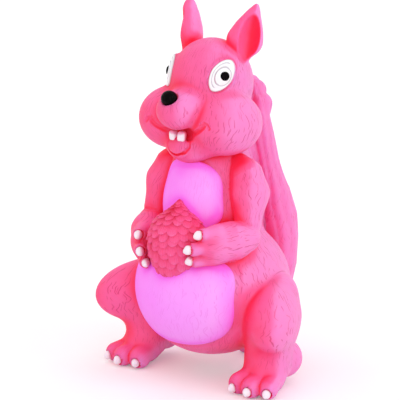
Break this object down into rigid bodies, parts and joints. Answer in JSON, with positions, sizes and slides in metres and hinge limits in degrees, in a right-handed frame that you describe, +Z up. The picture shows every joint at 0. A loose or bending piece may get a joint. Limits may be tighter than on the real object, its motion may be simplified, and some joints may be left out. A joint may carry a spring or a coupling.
{
  "type": "latex dog toy",
  "caption": "Hollow latex squeaky dog toy in the shape of a squatting squirrel that holds a fir cone, with a reed squeaker pressed into its rump.",
  "frame": {"origin": "on the floor, in the middle of the toy's width and depth", "axes": "+Z up, the toy faces -Y, +X is its own left"},
  "size_m": [0.1106, 0.0902, 0.1745],
  "materials": {
    "pink_latex": "satin latex, dyed pink, with fur engraved in the mould",
    "violet_latex": "satin latex, painted pale violet",
    "white_paint": "white latex paint, semi-gloss",
    "black_paint": "black latex paint, gloss",
    "squeaker_plastic": "moulded, matt",
    "reed_film": "thin clear film, amber"
  },
  "bodies": {
    "skin": {"torso": "pink_latex", "head": "pink_latex", "tail": "pink_latex", "fir_cone": "pink_latex", "ear_left": "pink_latex", "ear_right": "pink_latex", "upper_arm_left": "pink_latex", "upper_arm_right": "pink_latex", "forearm_left": "pink_latex", "forearm_right": "pink_latex", "leg_left": "pink_latex", "leg_right": "pink_latex", "foot_left": "pink_latex", "foot_right": "pink_latex", "chest_patch": "violet_latex", "belly_patch": "violet_latex", "eye_white_left": "white_paint", "eye_white_right": "white_paint", "pupil_left": "black_paint", "pupil_right": "black_paint", "nose": "black_paint", "tooth_left": "white_paint", "tooth_right": "white_paint", "finger_claw_left_1": "white_paint", "finger_claw_left_2": "white_paint", "finger_claw_left_3": "white_paint", "finger_claw_right_1": "white_paint", "finger_claw_right_2": "white_paint", "finger_claw_right_3": "white_paint", "toe_claw_left_1": "white_paint", "toe_claw_left_2": "white_paint", "toe_claw_left_3": "white_paint", "toe_claw_right_1": "white_paint", "toe_claw_right_2": "white_paint", "toe_claw_right_3": "white_paint", "squeaker_housing": "squeaker_plastic", "reed_block": "squeaker_plastic", "reed_wedge": "squeaker_plastic"},
    "reed": {"reed": "reed_film"}
  },
  "joints": [
    {"name": "reed_flutter", "type": "hinge", "parent": "skin", "child": "reed", "pos_m": [0, -0.00351, 0.0163], "axis": [1, 0, 0], "range_deg": [-4, 2], "stiffness_Nm_per_rad": 0.0002}
  ]
}
